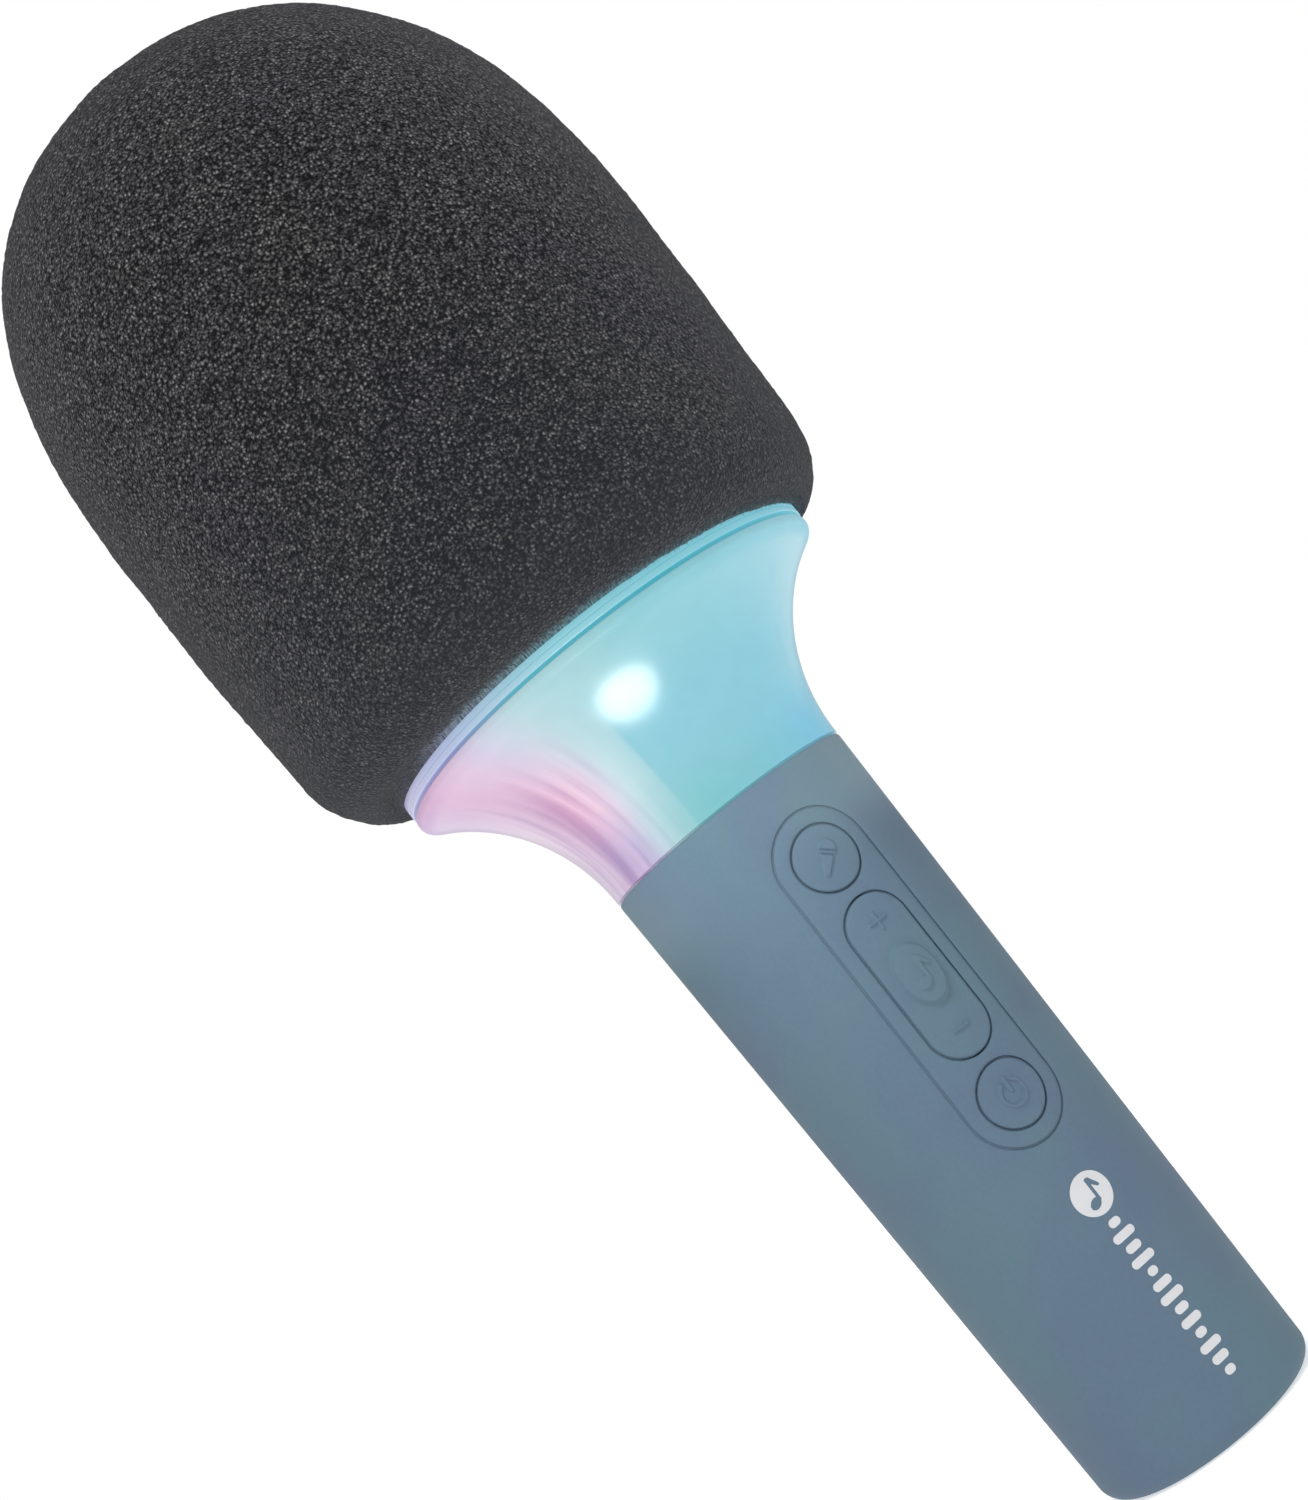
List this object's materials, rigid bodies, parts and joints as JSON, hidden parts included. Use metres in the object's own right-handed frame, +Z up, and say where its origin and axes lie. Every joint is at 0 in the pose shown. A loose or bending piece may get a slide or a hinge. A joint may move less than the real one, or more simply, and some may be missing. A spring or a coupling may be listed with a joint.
{
  "type": "toy karaoke microphone",
  "caption": "Handheld toy microphone with a foam head over a speaker, a light-up flared neck and a tapered handle with sprung keys.",
  "frame": {"origin": "centre of the handle's flat base, on the microphone's long axis", "axes": "+Z up the long axis towards the foam head, -Y out of the key panel, +X to the right of someone facing the keys"},
  "size_m": [0.0896, 0.0896, 0.24],
  "materials": {
    "soft_touch": "matt soft-touch paint over moulded plastic, slate blue",
    "soft_touch_key": "matt moulded keys and key panel, slate blue",
    "diffuser": "glossy translucent diffuser, lit from inside, cyan with a lilac side",
    "foam": "open-cell foam, charcoal",
    "black_plastic": "moulded black plastic",
    "white_plastic": "moulded white plastic",
    "led": "white package with a yellow phosphor lens",
    "grey_rubber": "matt silicone rubber",
    "steel": "plain plated steel",
    "ferrite": "dark sintered ferrite",
    "paper": "pressed black paper",
    "copper": "enamelled copper winding",
    "circuit_board": "green solder resist on glass fibre",
    "chip": "black moulded package",
    "cell_wrap": "shrunk blue sleeve over a steel can",
    "red_wire": "red insulation",
    "black_wire": "black insulation"
  },
  "bodies": {
    "housing": {"handle_sleeve": "soft_touch", "button_panel": "soft_touch_key", "keypad_mat": "grey_rubber", "voice_switch": "chip", "louder_switch": "chip", "mode_switch": "chip", "quieter_switch": "chip", "power_switch": "chip", "switch_frame": "black_plastic", "main_board": "circuit_board", "wireless_module": "steel", "amplifier_chip": "chip", "battery_tray": "black_plastic", "battery_cell": "cell_wrap", "base_plate": "soft_touch", "base_screw_left": "steel", "base_screw_right": "steel", "usb_socket": "steel", "usb_board": "circuit_board", "neck_diffuser": "diffuser", "light_ring": "diffuser", "reflector_core": "white_plastic", "led_board": "white_plastic", "led_1": "led", "led_2": "led", "led_3": "led", "led_4": "led", "led_5": "led", "led_6": "led", "foam_windscreen": "foam", "grille_dome": "black_plastic", "capsule_holder": "black_plastic", "capsule_boot": "grey_rubber", "mic_capsule": "steel", "speaker_basket": "black_plastic", "basket_screw_1": "steel", "basket_screw_2": "steel", "basket_screw_3": "steel", "speaker_baffle": "black_plastic", "speaker_frame": "steel", "speaker_top_plate": "steel", "speaker_magnet": "ferrite", "speaker_yoke": "steel", "speaker_surround": "grey_rubber", "speaker_screw_1": "steel", "speaker_screw_2": "steel", "speaker_screw_3": "steel", "speaker_screw_4": "steel", "speaker_wire_red": "red_wire", "speaker_wire_black": "black_wire", "capsule_wire": "black_wire", "battery_wire_red": "red_wire", "battery_wire_black": "black_wire"},
    "voice_button": {"voice_button": "soft_touch_key"},
    "power_button": {"power_button": "soft_touch_key"},
    "mode_plunger": {"mode_plunger": "grey_rubber"},
    "volume_mode_key": {"volume_mode_key": "soft_touch_key"},
    "speaker_cone": {"speaker_cone": "paper", "voice_coil": "copper", "speaker_dust_cap": "paper"}
  },
  "joints": [
    {"name": "voice_press", "type": "slide", "parent": "housing", "child": "voice_button", "axis": [0, 1, 0], "range_m": [0, 0.0005], "stiffness_N_per_m": 1500, "springref_m": -0.0002},
    {"name": "power_press", "type": "slide", "parent": "housing", "child": "power_button", "axis": [0, 1, 0], "range_m": [0, 0.0005], "stiffness_N_per_m": 1500, "springref_m": -0.0002},
    {"name": "mode_press", "type": "slide", "parent": "housing", "child": "mode_plunger", "axis": [0, 1, 0], "range_m": [0, 0.0005], "stiffness_N_per_m": 1500, "springref_m": -0.0002},
    {"name": "volume_rock", "type": "hinge", "parent": "mode_plunger", "child": "volume_mode_key", "pos_m": [0, -0.0129, 0.07], "axis": [1, 0, 0], "range_deg": [-2.4, 2.4], "stiffness_Nm_per_rad": 0.3},
    {"name": "cone_travel", "type": "slide", "parent": "housing", "child": "speaker_cone", "axis": [0, 0, 1], "range_m": [-0.0004, 0.0004], "stiffness_N_per_m": 1000}
  ]
}
